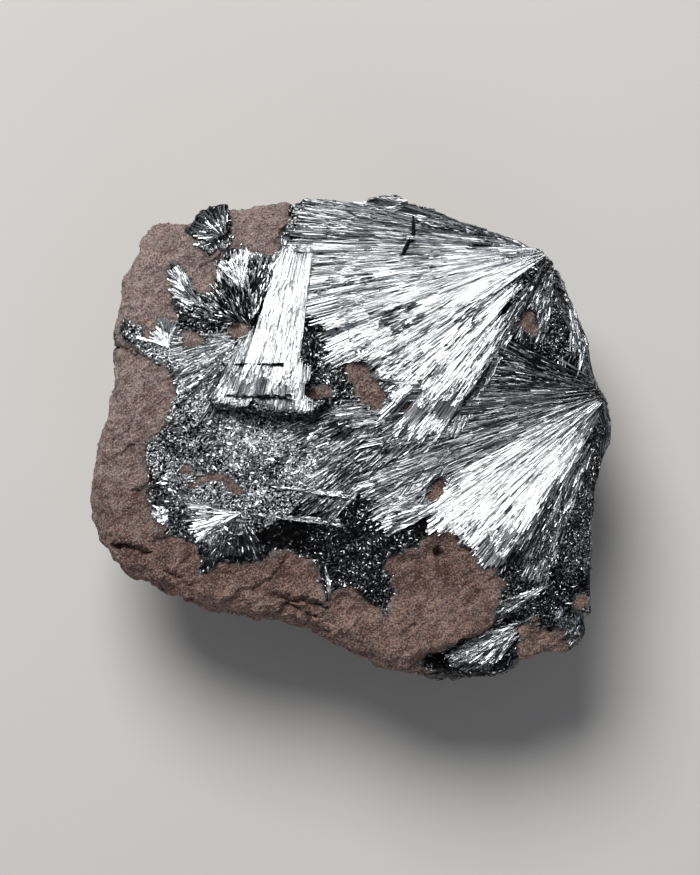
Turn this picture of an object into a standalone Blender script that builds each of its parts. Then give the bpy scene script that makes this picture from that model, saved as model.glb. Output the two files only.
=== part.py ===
"""A pyrolusite crystal cluster: a hand specimen that lies on its back with the crystal face up.

Silvery-black pyrolusite has grown in fans of blades through a lump of brown host rock. The crystal
sprays all run into each other and are one solid. The host rock shows round them and, in small
patches, through them. One small rosette sits apart in the rock.

Units are metres. +Z points out of the crystal face, +X runs along the length of the specimen and +Y
to its upper edge. Places on the face are given in millimetres from the middle of the face, and heights
in millimetres above the face that the specimen rests on.
"""

import math
import random
from collections import namedtuple

import bmesh
import bpy
from mathutils import Matrix, Vector

MM = 0.001

# The clear space between two solids that were cut from the same lump
GAP = 0.3

# The outline of the whole specimen, seen from above the crystal face, clockwise from the upper left
OUTLINE = [
    (-28.1, 30.2), (-23.6, 30.2), (-18.4, 31.9), (-13.3, 32.5), (-7.4, 33.4), (1.3, 32.8), (3.9, 33.8),
    (6.6, 34.2), (9.4, 32.6), (14.7, 30.6), (21.6, 28.5), (28.1, 25.5), (30.9, 20.2), (33.4, 13.9),
    (34.3, 9.9), (36.3, 4.4), (37.0, 0.2), (35.7, -4.2), (34.6, -6.1), (34.6, -14.4), (33.9, -23.4),
    (33.0, -25.2), (33.4, -28.5), (30.9, -30.8), (27.9, -30.8), (24.0, -31.8), (21.0, -34.1),
    (13.6, -34.1), (6.4, -33.5), (1.0, -31.5), (-4.1, -28.1), (-10.1, -26.6), (-16.1, -25.5),
    (-21.1, -24.8), (-26.3, -22.5), (-31.4, -20.1), (-35.9, -14.6), (-36.9, -10.8), (-35.6, -3.1),
    (-34.0, 3.1), (-33.6, 8.4), (-33.4, 15.8), (-32.1, 21.4), (-30.0, 26.1), (-30.0, 28.1),
]

# The lump's side, from the base up: height, size against the outline, and shift towards the upper edge.
# It is widest a little below the face, and undercut most along the lower edge.
SIDE_PROFILE = [
    (-1.0, 0.80, 2.2),
    (5.0, 0.90, 1.4),
    (12.0, 0.965, 0.6),
    (19.0, 0.995, 0.0),
    (23.0, 0.99, 0.0),
    (25.2, 0.965, 0.0),
    (26.2, 0.93, 0.0),
]

# Flat breaks on the lump: the direction they face, their slope (below the horizon is undercut) and
# their distance from the middle of the lump, at mid height
BREAKS = [
    (20, -14, 35.4),
    (62, -22, 34.2),
    (100, -10, 33.4),
    (128, -30, 37.4),
    (168, -18, 34.2),
    (205, -34, 32.8),
    (238, -30, 29.4),
    (262, -26, 30.6),
    (292, -32, 35.6),
    (330, -20, 41.0),
    (190, 45, 46.2),
    (226, 45, 45.2),
    (140, 44, 49.2),
    (75, 52, 45.5),
    (48, 45, 45.6),
    (20, 45, 43.6),
    (350, 40, 42.6),
]
MID_HEIGHT = 14.0

# Lumps and pits of the broken rock
REMESH_SIZE = 0.9
LUMPS = (7.5, 1.4)
PITS = (2.8, 0.55)
ROCK_TRIANGLES_KEPT = 0.085

# The lower shelf at the lower right, under the overhanging tongue of host rock
SHELF = [
    (8.6, -31.6), (14.7, -29.4), (19.6, -27.5), (21.6, -25.8), (26.5, -26.2), (40.0, -28.2),
    (40.0, -40.0), (8.0, -40.0),
]
SHELF_HEIGHT = 23.4

# The part of the face that is crystal. It runs past the outline at the top, the right and the bottom.
CRYSTAL_REGION = [
    (-8.7, 42.0), (-8.7, 30.8), (-9.9, 25.2), (-12.3, 25.2), (-15.9, 26.1), (-18.6, 24.5),
    (-19.0, 20.5), (-20.0, 19.1), (-21.7, 19.4), (-23.6, 23.6), (-25.1, 23.8), (-26.0, 22.2),
    (-24.0, 15.5), (-26.7, 15.5), (-28.0, 12.9), (-30.9, 15.8), (-32.6, 15.6), (-32.6, 13.9),
    (-30.0, 11.2), (-24.6, 7.9), (-24.3, 4.4), (-26.9, -0.1), (-28.7, -1.8), (-28.6, -6.6),
    (-27.9, -12.1), (-25.1, -15.4), (-20.9, -16.2), (-21.0, -19.8), (-19.6, -20.8), (-18.6, -18.6),
    (-15.3, -18.6), (-9.3, -17.1), (-4.3, -19.2), (-3.6, -24.9), (-2.0, -22.6), (0.0, -22.1),
    (5.1, -25.5), (6.7, -22.5), (4.6, -18.9), (5.7, -17.6), (9.0, -16.8), (12.0, -14.4),
    (14.1, -14.1), (18.6, -18.6), (22.0, -21.2), (20.1, -23.9), (21.0, -25.8), (19.6, -27.5),
    (14.7, -29.4), (10.0, -31.1), (10.4, -42.0), (46.0, -42.0), (46.0, 42.0),
]
ROSETTE_REGION = [
    (-23.3, 29.8), (-21.3, 34.0), (-17.2, 34.0), (-16.6, 29.8), (-16.9, 27.9), (-19.1, 26.2),
    (-21.4, 26.6), (-23.4, 28.4),
]

# Depth of the crystal below the face: a sloping floor, deeper to the right and to the upper edge
FLOOR_AT_MIDDLE = 17.0
FLOOR_SLOPE = (-0.17, -0.15)
ROSETTE_FLOOR = 21.0
ROSETTE_MIDDLE = (-20.0, 28.0)
ROSETTE_SLOPE = (0.0, 0.45)

# The crystal face falls away to the right, below the level of the rest
FALL_START = (10.0, 0.0, 26.3)
FALL_SLOPE = (-0.105, -0.02)

# Patches of host rock that show through the crystals: middle, half length, half width and direction
WINDOWS = [
    ((2.4, 6.5), 4.1, 1.9, -56),
    ((-4.6, 5.3), 2.0, 1.1, 0),
    ((12.4, -8.4), 1.8, 1.2, 80),
    ((25.4, 15.6), 2.2, 1.2, 100),
    ((-15.4, 14.4), 1.5, 1.3, 30),
    ((-22.2, 12.7), 1.6, 1.3, 150),
]
EDGE_WINDOW = [(25.6, -26.1), (23.7, -28.4), (23.9, -40.0), (33.0, -40.0), (30.4, -28.3), (27.0, -27.4)]

# The raised slab of parallel blades, higher along its broken lower edge
SLAB = [
    (-9.9, 26.2), (-7.7, 25.9), (-4.6, 23.1), (-7.2, 14.8), (-5.7, 5.5), (-2.9, 4.3), (-5.7, 1.9),
    (-19.4, 3.4), (-18.6, 5.5), (-16.0, 10.5), (-12.9, 13.4), (-11.4, 19.1),
]
SLAB_BASE = 20.0
SLAB_HEIGHT = 28.2
SLAB_MIDDLE = (-11.0, 12.0)
SLAB_RISE = -0.075

# One spray of blades: the focus it grew from (with its height), the first and last direction, the
# distance from the focus at which the blades start, their length at the first and at the last
# direction, how far their far ends stand above the focus, how many there are, how thick they are at
# the far end, and the wall they lie on. Without a wall they lie on the face, with directions counted
# from +X. A wall is given by the direction it faces, and directions on it go from its left downwards.
Spray = namedtuple("Spray", "focus first last near far_first far_last rise count girth wall seed")
SPRAYS = [
    Spray((28.6, 25.2, 24.3), 168, 186, 0.5, 39.5, 37.0, 2.2, 9, 1.25, None, 11),
    Spray((28.4, 24.8, 24.7), 188, 212, 0.5, 36.0, 32.0, 2.5, 10, 1.35, None, 12),
    Spray((28.2, 24.4, 24.6), 214, 237, 0.5, 31.0, 29.0, 2.7, 9, 1.15, None, 13),
    Spray((36.2, 4.6, 23.7), 158, 181, 0.5, 22.0, 32.0, 1.8, 8, 1.15, None, 14),
    Spray((36.2, 4.2, 24.1), 184, 208, 0.5, 38.0, 38.0, 2.6, 10, 1.35, None, 15),
    Spray((35.8, 2.9, 24.2), 210, 238, 2.5, 33.0, 27.0, 2.5, 10, 1.35, None, 16),
    Spray((35.2, 1.4, 23.8), 240, 266, 3.0, 30.0, 28.0, 1.5, 7, 1.25, None, 57),
    Spray((-5.7, 33.0, 26.8), 245, 269, 7.5, 30.0, 30.0, 1.9, 9, 1.00, None, 18),
    Spray((-14.1, 13.6, 25.9), 68, 168, 1.0, 12.5, 12.0, 0.9, 12, 1.20, None, 19),
    Spray((-13.1, 12.6, 26.1), 196, 240, 1.0, 14.0, 19.0, 0.4, 9, 1.20, None, 20),
    Spray((-16.0, -10.5, 26.2), 165, 300, 0.5, 9.5, 10.0, 0.1, 12, 1.15, None, 21),
    Spray((-15.0, -10.5, 26.1), 330, 388, 1.0, 17.0, 20.0, 0.4, 8, 1.10, None, 22),
    Spray((27.4, -24.4, 23.4), 200, 226, 1.0, 18.0, 13.0, 0.3, 6, 1.10, None, 23),
    Spray((-25.5, 11.4, 25.8), 128, 172, 1.0, 8.5, 7.0, 0.4, 5, 0.95, None, 24),
    Spray((-2.0, 4.0, 25.6), 20, 110, 1.0, 11.0, 9.0, 1.1, 7, 1.15, None, 25),
    Spray((10.0, -6.0, 25.9), 150, 250, 1.0, 13.0, 13.0, 0.6, 10, 1.15, None, 26),
    Spray((5.6, 31.4, 24.8), 30, 190, 0.0, 3.4, 4.2, 0.8, 5, 1.20, None, 27),
    Spray((29.2, 22.6, 22.5), 62, 140, 0.5, 13.0, 13.0, -2.4, 7, 1.45, 38, 28),
    Spray((34.8, 3.6, 22.0), 35, 145, 0.5, 13.0, 13.0, -2.6, 8, 1.45, 0, 29),
    Spray((12.0, 30.4, 22.5), 50, 140, 0.5, 11.0, 11.0, -1.8, 6, 1.45, 76, 30),
]
ROSETTE_SPRAY = Spray((-17.6, 27.0, 24.9), 88, 186, 0.4, 5.4, 6.0, 1.0, 8, 0.85, None, 31)
BLADE_SIDES = 4
BLADE_FLATNESS = 0.52
NEAR_GIRTH = 0.38
LENGTH_SPREAD = 0.16
BLADE_ROLL = 0.42
RISE_SPREAD = 0.38

# Short stubby prisms of the granular fields: middle of the field, half its width and depth, how many
Field = namedtuple("Field", "middle half_width half_depth count length girth height seed")
FIELDS = [
    Field((-17.5, -3.0), 10.0, 5.0, 12, 4.4, 1.15, 26.2, 41),
    Field((1.5, -18.0), 4.5, 5.0, 6, 4.2, 1.15, 26.1, 42),
    Field((27.5, -17.0), 5.5, 7.0, 8, 4.6, 1.25, 24.7, 43),
    Field((22.0, 13.0), 6.0, 3.5, 4, 4.2, 1.05, 25.0, 44),
]
FIELD_TILT = 20
CRYSTAL_TRIANGLES_KEPT = 0.55

HOST_ROCK = ("host rock", (0.155, 0.105, 0.092, 1.0), 0.0, 0.92)
PYROLUSITE = ("pyrolusite", (0.22, 0.225, 0.235, 1.0), 0.85, 0.34)


def clear_scene():
    for obj in list(bpy.data.objects):
        bpy.data.objects.remove(obj, do_unlink=True)


def new_collection(name, helpers=False):
    collection = bpy.data.collections.new(name)
    collection.hide_render = helpers
    bpy.context.scene.collection.children.link(collection)
    return collection


def new_material(name, colour, metallic, roughness):
    material = bpy.data.materials.new(name)
    material.use_nodes = True
    shader = material.node_tree.nodes["Principled BSDF"]
    shader.inputs["Base Color"].default_value = colour
    shader.inputs["Metallic"].default_value = metallic
    shader.inputs["Roughness"].default_value = roughness
    return material


def add_object(name, mesh, collection):
    obj = bpy.data.objects.new(name, mesh)
    collection.objects.link(obj)
    return obj


def add_helper(name, mesh):
    obj = add_object(name, mesh, helpers)
    obj.hide_render = True
    obj.display_type = "WIRE"
    return obj


def evaluated_mesh(obj):
    """A plain mesh of the object as its modifiers leave it."""
    bpy.context.view_layer.update()
    graph = bpy.context.evaluated_depsgraph_get()
    return bpy.data.meshes.new_from_object(obj.evaluated_get(graph))


def settle(obj):
    """Replaces the object's mesh by its evaluated one and takes its modifiers off."""
    mesh = evaluated_mesh(obj)
    obj.modifiers.clear()
    obj.data = mesh


def prism(name, outline, bottom, top):
    """A closed helper prism of an outline on the face, between two heights."""
    curve = bpy.data.curves.new(name, "CURVE")
    curve.dimensions = "2D"
    curve.fill_mode = "BOTH"
    curve.extrude = (top - bottom) / 2 * MM
    spline = curve.splines.new("POLY")
    spline.points.add(len(outline) - 1)
    for point, (x, y) in zip(spline.points, outline):
        point.co = (x * MM, y * MM, 0.0, 1.0)
    spline.use_cyclic_u = True
    guide = add_helper(name + " guide", curve)
    mesh = evaluated_mesh(guide)
    bpy.data.objects.remove(guide, do_unlink=True)
    mesh.transform(Matrix.Translation((0.0, 0.0, (top + bottom) / 2 * MM)))
    bm = bmesh.new()
    bm.from_mesh(mesh)
    bmesh.ops.remove_doubles(bm, verts=bm.verts, dist=1e-6)
    bmesh.ops.recalc_face_normals(bm, faces=bm.faces)
    bm.to_mesh(mesh)
    bm.free()
    return add_helper(name, mesh)


def cut_by_plane(bm, point, normal):
    """Removes what lies on the side that the normal points to, and closes the cut."""
    everything = bm.verts[:] + bm.edges[:] + bm.faces[:]
    cut = bmesh.ops.bisect_plane(
        bm, geom=everything, plane_co=point, plane_no=normal, clear_outer=True, dist=1e-7
    )
    edges = [item for item in cut["geom_cut"] if isinstance(item, bmesh.types.BMEdge)]
    bmesh.ops.holes_fill(bm, edges=edges, sides=0)


def cut_helper(obj, point, normal):
    bm = bmesh.new()
    bm.from_mesh(obj.data)
    cut_by_plane(bm, Vector(point) * MM, Vector(normal))
    bm.to_mesh(obj.data)
    bm.free()


def combine(obj, other, operation):
    """Adds, subtracts or intersects another closed mesh, and keeps the result as a plain mesh."""
    modifier = obj.modifiers.new(operation.lower(), "BOOLEAN")
    modifier.operation = operation
    modifier.object = other
    modifier.solver = "EXACT"
    modifier.use_self = operation == "UNION"
    settle(obj)


def keep_largest_body(obj):
    """Drops the crumbs that a cut leaves beside the main body."""
    bm = bmesh.new()
    bm.from_mesh(obj.data)
    bm.verts.ensure_lookup_table()
    unseen = set(bm.verts)
    bodies = []
    while unseen:
        body = set()
        edge_of_search = [unseen.pop()]
        while edge_of_search:
            vert = edge_of_search.pop()
            body.add(vert)
            for edge in vert.link_edges:
                other = edge.other_vert(vert)
                if other in unseen:
                    unseen.remove(other)
                    edge_of_search.append(other)
        bodies.append(body)
    largest = max(bodies, key=len)
    crumbs = [vert for body in bodies if body is not largest for vert in body]
    bmesh.ops.delete(bm, geom=crumbs, context="VERTS")
    bm.to_mesh(obj.data)
    bm.free()


def thin_out(obj, share_kept):
    """Merges small faces until the share is left, and drops any flap that hangs on by one edge."""
    obj.modifiers.new("triangles", "TRIANGULATE")
    thin = obj.modifiers.new("fewer faces", "DECIMATE")
    thin.ratio = share_kept
    settle(obj)
    bm = bmesh.new()
    bm.from_mesh(obj.data)
    flaps = {edge.link_faces[0] for edge in bm.edges if len(edge.link_faces) == 1}
    bmesh.ops.delete(bm, geom=list(flaps), context="FACES")
    bm.to_mesh(obj.data)
    bm.free()


def noise_texture(name, kind, size):
    texture = bpy.data.textures.new(name, kind)
    texture.noise_scale = size * MM
    return texture


def host_lump():
    """The whole lump, crystals and rock together: the outline drawn up along the side profile, chipped
    by flat breaks, then roughened into lumps and pits."""
    base_height, base_size, base_shift = SIDE_PROFILE[0]
    bm = bmesh.new()
    rim = [
        bm.verts.new((x * base_size * MM, (y * base_size + base_shift) * MM, base_height * MM))
        for x, y in OUTLINE
    ]
    face = bm.faces.new(rim)
    size = base_size
    shift = base_shift
    height = base_height
    for next_height, next_size, next_shift in SIDE_PROFILE[1:]:
        below = face
        made = bmesh.ops.extrude_face_region(bm, geom=[below], use_keep_orig=True)["geom"]
        face = next(item for item in made if isinstance(item, bmesh.types.BMFace))
        if height > base_height:
            bmesh.ops.delete(bm, geom=[below], context="FACES_ONLY")
        for vert in face.verts:
            vert.co.x *= next_size / size
            vert.co.y = (vert.co.y - shift * MM) * next_size / size + next_shift * MM
            vert.co.z += (next_height - height) * MM
        size = next_size
        shift = next_shift
        height = next_height
    bmesh.ops.recalc_face_normals(bm, faces=bm.faces)
    for direction, slope, distance in BREAKS:
        around = math.radians(direction)
        rise = math.radians(slope)
        normal = Vector(
            (math.cos(around) * math.cos(rise), math.sin(around) * math.cos(rise), math.sin(rise))
        )
        middle = Vector((0.0, 0.0, MID_HEIGHT * MM))
        cut_by_plane(bm, middle + normal * distance * math.cos(rise) * MM, normal)
    cut_by_plane(bm, Vector(FALL_START) * MM, Vector((-FALL_SLOPE[0], -FALL_SLOPE[1], 1.0)))
    mesh = bpy.data.meshes.new("host lump")
    bm.to_mesh(mesh)
    bm.free()
    lump = add_helper("host lump", mesh)
    shelf = prism("lower shelf", SHELF, SHELF_HEIGHT, SHELF_HEIGHT + 20.0)
    combine(lump, shelf, "DIFFERENCE")

    remesh = lump.modifiers.new("even mesh", "REMESH")
    remesh.mode = "VOXEL"
    remesh.voxel_size = REMESH_SIZE * MM
    for name, kind, (size, depth) in (("lumps", "CLOUDS", LUMPS), ("pits", "VORONOI", PITS)):
        rough = lump.modifiers.new(name, "DISPLACE")
        rough.texture = noise_texture(name, kind, size)
        rough.texture_coords = "LOCAL"
        rough.mid_level = 0.5
        rough.strength = depth * MM
    thin_out(lump, ROCK_TRIANGLES_KEPT)
    bm = bmesh.new()
    bm.from_mesh(lump.data)
    cut_by_plane(bm, Vector((0.0, 0.0, 0.0)), Vector((0.0, 0.0, -1.0)))
    bm.to_mesh(lump.data)
    bm.free()
    keep_largest_body(lump)
    return lump


def add_blade(bm, start, end, near_girth, far_girth, roll):
    """One blade: a flattened prism of a few sides that widens away from its focus."""
    along = end - start
    turn = along.to_track_quat("Z", "Y").to_matrix().to_4x4()
    flat = Matrix.Diagonal((1.0, BLADE_FLATNESS, 1.0, 1.0))
    place = (
        Matrix.Translation((start + end) / 2 * MM) @ turn @ Matrix.Rotation(roll, 4, "Z") @ flat
    )
    bmesh.ops.create_cone(
        bm,
        cap_ends=True,
        segments=BLADE_SIDES,
        radius1=near_girth * MM,
        radius2=far_girth * MM,
        depth=along.length * MM,
        matrix=place,
    )


def add_spray(bm, spray):
    """A fan of blades from one focus. Neighbours overlap, and differ in length, height and roll."""
    draw = random.Random(spray.seed)
    focus = Vector(spray.focus)
    right = Vector((1.0, 0.0, 0.0))
    ahead = Vector((0.0, 1.0, 0.0))
    outward = Vector((0.0, 0.0, 1.0))
    if spray.wall is not None:
        facing = math.radians(spray.wall)
        right = Vector((-math.sin(facing), math.cos(facing), 0.0))
        ahead = Vector((0.0, 0.0, -1.0))
        outward = Vector((math.cos(facing), math.sin(facing), 0.0))
    for number in range(spray.count):
        share = number / (spray.count - 1)
        around = math.radians(spray.first + (spray.last - spray.first) * share)
        around += math.radians(draw.uniform(-1.2, 1.2))
        length = spray.far_first + (spray.far_last - spray.far_first) * share
        length *= 1.0 - draw.uniform(0.0, LENGTH_SPREAD)
        way = right * math.cos(around) + ahead * math.sin(around)
        start = focus + way * spray.near
        rise = spray.rise + draw.uniform(-RISE_SPREAD, RISE_SPREAD)
        end = focus + way * length + outward * rise
        girth = spray.girth * draw.uniform(0.85, 1.15)
        near = NEAR_GIRTH + girth * spray.near / length
        add_blade(bm, start, end, near, girth, draw.uniform(-BLADE_ROLL, BLADE_ROLL))


def add_field(bm, field):
    """Short prisms lying every way, each half sunk in the crystal below it."""
    draw = random.Random(field.seed)
    for _ in range(field.count):
        middle = Vector(
            (
                field.middle[0] + draw.uniform(-1, 1) * field.half_width,
                field.middle[1] + draw.uniform(-1, 1) * field.half_depth,
                field.height + draw.uniform(-0.3, 0.2),
            )
        )
        around = draw.uniform(0.0, 2 * math.pi)
        tilt = math.radians(draw.uniform(-FIELD_TILT, FIELD_TILT))
        along = Vector(
            (math.cos(around) * math.cos(tilt), math.sin(around) * math.cos(tilt), math.sin(tilt))
        )
        half = along * field.length * draw.uniform(0.7, 1.2) / 2
        girth = field.girth * draw.uniform(0.8, 1.2)
        add_blade(bm, middle - half, middle + half, girth * 0.8, girth, draw.uniform(0.0, math.pi))


def blades_object(name, sprays, fields=()):
    bm = bmesh.new()
    for spray in sprays:
        add_spray(bm, spray)
    for field in fields:
        add_field(bm, field)
    mesh = bpy.data.meshes.new(name)
    bm.to_mesh(mesh)
    bm.free()
    return add_helper(name, mesh)


def slab_object():
    """The raised slab: its outline drawn up and cut by a plane that falls towards the upper edge."""
    slab = prism("raised slab", SLAB, SLAB_BASE, SLAB_HEIGHT + 8.0)
    cut_helper(slab, (*SLAB_MIDDLE, SLAB_HEIGHT), (0.0, -SLAB_RISE, 1.0))
    return slab


def window_object(number, middle, half_length, half_width, direction):
    """A patch of host rock that stands up through the crystals, as an upright elliptic column."""
    bm = bmesh.new()
    place = (
        Matrix.Translation((middle[0] * MM, middle[1] * MM, MID_HEIGHT * MM))
        @ Matrix.Rotation(math.radians(direction), 4, "Z")
        @ Matrix.Diagonal((half_length, half_width, 1.0, 1.0))
    )
    bmesh.ops.create_cone(
        bm,
        cap_ends=True,
        segments=9,
        radius1=MM,
        radius2=MM,
        depth=60 * MM,
        matrix=place,
    )
    mesh = bpy.data.meshes.new("window")
    bm.to_mesh(mesh)
    bm.free()
    return add_helper(f"window {number}", mesh)


def crystal_space():
    """The space that the main crystal mass takes up in the lump."""
    space = prism("crystal space", CRYSTAL_REGION, -10.0, 50.0)
    cut_helper(space, (0.0, 0.0, FLOOR_AT_MIDDLE), (*FLOOR_SLOPE, -1.0))
    for number, window in enumerate(WINDOWS):
        combine(space, window_object(number, *window), "DIFFERENCE")
    combine(space, prism("edge window", EDGE_WINDOW, -20.0, 60.0), "DIFFERENCE")
    return space


def grown(obj, name, amount):
    """A copy of a helper whose faces have all moved out by about the amount."""
    copy = add_helper(name, obj.data.copy())
    swell = copy.modifiers.new("swell", "DISPLACE")
    swell.mid_level = 0.0
    swell.strength = amount * MM
    settle(copy)
    return copy


def build():
    lump = host_lump()
    space = crystal_space()
    rosette_space = prism("rosette space", ROSETTE_REGION, 0.0, 50.0)
    cut_helper(rosette_space, (*ROSETTE_MIDDLE, ROSETTE_FLOOR), (*ROSETTE_SLOPE, -1.0))

    rich_lump = add_helper("lump with blades", lump.data.copy())
    blades = blades_object("blades", SPRAYS, FIELDS)
    combine(rich_lump, slab_object(), "UNION")
    combine(rich_lump, blades, "UNION")

    crystals = add_object("pyrolusite_mass", rich_lump.data.copy(), cluster)
    combine(crystals, grown(space, "shrunk space", -GAP), "INTERSECT")
    thin_out(crystals, CRYSTAL_TRIANGLES_KEPT)
    keep_largest_body(crystals)

    rosette = add_object("rosette", lump.data.copy(), cluster)
    combine(rosette, blades_object("rosette blades", [ROSETTE_SPRAY]), "UNION")
    combine(rosette, grown(rosette_space, "shrunk rosette space", -GAP), "INTERSECT")
    keep_largest_body(rosette)

    matrix = add_object("matrix", lump.data.copy(), cluster)
    combine(matrix, space, "DIFFERENCE")
    combine(matrix, rosette_space, "DIFFERENCE")
    keep_largest_body(matrix)

    rock = new_material(*HOST_ROCK)
    mineral = new_material(*PYROLUSITE)
    matrix.data.materials.clear()
    matrix.data.materials.append(rock)
    for obj in (crystals, rosette):
        obj.data.materials.clear()
        obj.data.materials.append(mineral)
    return [matrix, crystals, rosette]


def stand_on_origin(objects):
    """Moves the meshes so that the origin is the middle of their common box, at its lowest level."""
    points = [vert.co for obj in objects for vert in obj.data.vertices]
    low = Vector(min(point[axis] for point in points) for axis in range(3))
    high = Vector(max(point[axis] for point in points) for axis in range(3))
    shift = Vector((-(low.x + high.x) / 2, -(low.y + high.y) / 2, -low.z))
    for obj in objects:
        obj.data.transform(Matrix.Translation(shift))


clear_scene()
cluster = new_collection("Pyrolusite crystal cluster")
helpers = new_collection("Cutters and guides", helpers=True)
stand_on_origin(build())
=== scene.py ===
"""A pyrolusite crystal cluster: fans of silvery-black blades grown through a lump of brown host rock."""

import math

import bmesh
import bpy
import numpy as np
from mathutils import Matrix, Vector
from mathutils import noise as turbulence
from mathutils.bvhtree import BVHTree


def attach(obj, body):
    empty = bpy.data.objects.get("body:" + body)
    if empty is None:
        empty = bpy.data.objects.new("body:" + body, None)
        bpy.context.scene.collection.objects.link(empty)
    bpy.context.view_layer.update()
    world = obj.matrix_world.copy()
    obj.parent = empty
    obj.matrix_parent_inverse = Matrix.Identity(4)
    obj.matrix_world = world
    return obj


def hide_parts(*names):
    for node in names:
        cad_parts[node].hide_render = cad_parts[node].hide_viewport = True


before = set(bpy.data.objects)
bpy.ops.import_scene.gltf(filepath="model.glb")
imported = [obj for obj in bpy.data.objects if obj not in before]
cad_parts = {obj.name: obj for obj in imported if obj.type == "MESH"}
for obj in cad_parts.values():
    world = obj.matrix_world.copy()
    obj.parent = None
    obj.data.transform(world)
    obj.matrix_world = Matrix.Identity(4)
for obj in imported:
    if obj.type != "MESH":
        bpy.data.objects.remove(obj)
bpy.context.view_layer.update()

# Table, light and camera. The specimen lies on a plain pale table. A large soft light stands high
# beyond its upper edge, a little to the left, and the rest of the room is dim, because the crystals
# show their facets by mirroring either the light or the dark. The camera looks down on the face.
MM = 0.001
FACE_HEIGHT = 26.0 * MM
TABLE_SIZE = 3.0
SOFTBOX_AZIMUTH = math.radians(112)
SOFTBOX_POLAR = math.radians(38)
SOFTBOX_DISTANCE = 0.95
FILL_AZIMUTH = math.radians(-70)
FILL_POLAR = math.radians(68)
FILL_DISTANCE = 1.1
CAMERA_POLAR = math.radians(6)
CAMERA_DISTANCE = 0.42
# How far beyond the middle of the face, towards its upper edge, the camera aims
AIM = -1.5 * MM


def from_above(azimuth, polar, distance):
    """The point at that distance from the middle of the face, polar being the angle from straight up."""
    level = math.sin(polar) * distance
    height = math.cos(polar) * distance + FACE_HEIGHT
    return Vector((math.cos(azimuth) * level, math.sin(azimuth) * level, height))


def put(name, data):
    """A new object in the scene that shows the data."""
    made = bpy.data.objects.new(name, data)
    bpy.context.scene.collection.objects.link(made)
    return made


def finished(bm, name):
    """The mesh in the making, as an object of its own."""
    mesh = bpy.data.meshes.new(name)
    bm.to_mesh(mesh)
    bm.free()
    return put(name, mesh)


def point_at(made, place, target):
    """Puts a lamp or the camera at its place, turned to the target."""
    made.location = place
    made.rotation_euler = (target - place).to_track_quat("-Z", "Y").to_euler()


def add_lamp(name, place, size, power, colour):
    lamp = bpy.data.lights.new(name, "AREA")
    lamp.shape = "DISK"
    lamp.size = size
    lamp.energy = power
    lamp.color = colour
    point_at(put(name, lamp), place, Vector((0.0, 0.0, FACE_HEIGHT)))


softbox_place = from_above(SOFTBOX_AZIMUTH, SOFTBOX_POLAR, SOFTBOX_DISTANCE)
add_lamp("softbox", softbox_place, size=0.55, power=9.0, colour=(1.0, 0.985, 0.96))
fill_place = from_above(FILL_AZIMUTH, FILL_POLAR, FILL_DISTANCE)
add_lamp("fill", fill_place, size=0.9, power=1.5, colour=(0.93, 0.96, 1.0))

world = bpy.data.worlds.new("dim room")
world.use_nodes = True
room = world.node_tree.nodes["Background"].inputs
room["Color"].default_value = (0.62, 0.65, 0.70, 1.0)
room["Strength"].default_value = 0.20
bpy.context.scene.world = world
bpy.context.scene.view_settings.view_transform = "Standard"

table_paint = bpy.data.materials.new("pale table")
table_paint.use_nodes = True
paint = table_paint.node_tree.nodes["Principled BSDF"].inputs
paint["Base Color"].default_value = (0.68, 0.67, 0.65, 1.0)
paint["Roughness"].default_value = 0.7
bm = bmesh.new()
bmesh.ops.create_grid(bm, x_segments=1, y_segments=1, size=TABLE_SIZE / 2)
table = finished(bm, "table")
table.data.materials.append(table_paint)

camera_data = bpy.data.cameras.new("Camera")
camera_data.lens = 123.0
camera_data.clip_start = 0.01
camera = put("Camera", camera_data)
camera_place = from_above(math.radians(-90), CAMERA_POLAR, CAMERA_DISTANCE)
camera_place.y += AIM
point_at(camera, camera_place, Vector((0.0, AIM, FACE_HEIGHT)))
bpy.context.scene.camera = camera

# The host rock: a lump of fine-grained brown rock that the crystals grew through. It was broken off
# a larger piece, so its sides are lumpy and ledged. Its face is rough, with pale specks and small pits.
ROCK_VOXEL = 0.42 * MM
ROCK_GROWTH = 0.12 * MM
LUMP_DEPTH = 0.9 * MM
# What lies lower than this is pressed flat onto the table
FOOT = 0.35 * MM
# The lower right corner: where its side starts, across and up, and how far down it is drawn in fully
CORNER_SIDE = 33.2 * MM
CORNER_TOP = -6.0 * MM
CORNER_RUN = 8.0 * MM
CORNER_DRAWN_IN = 0.65
# The contact of rock and crystal: the width over which it passes, and how it winds on the sides, as
# noises of a size and a weight
CONTACT_WIDTH = 1.6 * MM
SIDE_CONTACT_WIDTH = 5.0 * MM
FACE_EDGE = 24.5 * MM
FACE_EDGE_DEPTH = 1.5 * MM
WINDINGS = ((4.5 * MM, 0.8), (1.9 * MM, 0.3))
SWELLS_ABOVE = 12 * MM


def merged_copy(node, name):
    """A CAD node's mesh as an object of its own, with its loose triangles joined up."""
    bm = bmesh.new()
    bm.from_mesh(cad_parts[node].data)
    bmesh.ops.remove_doubles(bm, verts=bm.verts, dist=1e-6)
    return finished(bm, name)


def settle(made):
    """Replaces the mesh by what the modifiers make of it, and takes them off."""
    bpy.context.view_layer.update()
    graph = bpy.context.evaluated_depsgraph_get()
    mesh = bpy.data.meshes.new_from_object(made.evaluated_get(graph))
    made.modifiers.clear()
    made.data = mesh


def remesh(made, voxel):
    even = made.modifiers.new("even mesh", "REMESH")
    even.mode = "VOXEL"
    even.voxel_size = voxel


def roughen(made, name, kind, size, depth, middle=0.5):
    """Moves the surface in and out by a noise whose features have that size."""
    texture = bpy.data.textures.new(name, kind)
    texture.noise_scale = size
    rough = made.modifiers.new(name, "DISPLACE")
    rough.texture = texture
    rough.texture_coords = "LOCAL"
    rough.mid_level = middle
    rough.strength = depth


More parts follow.
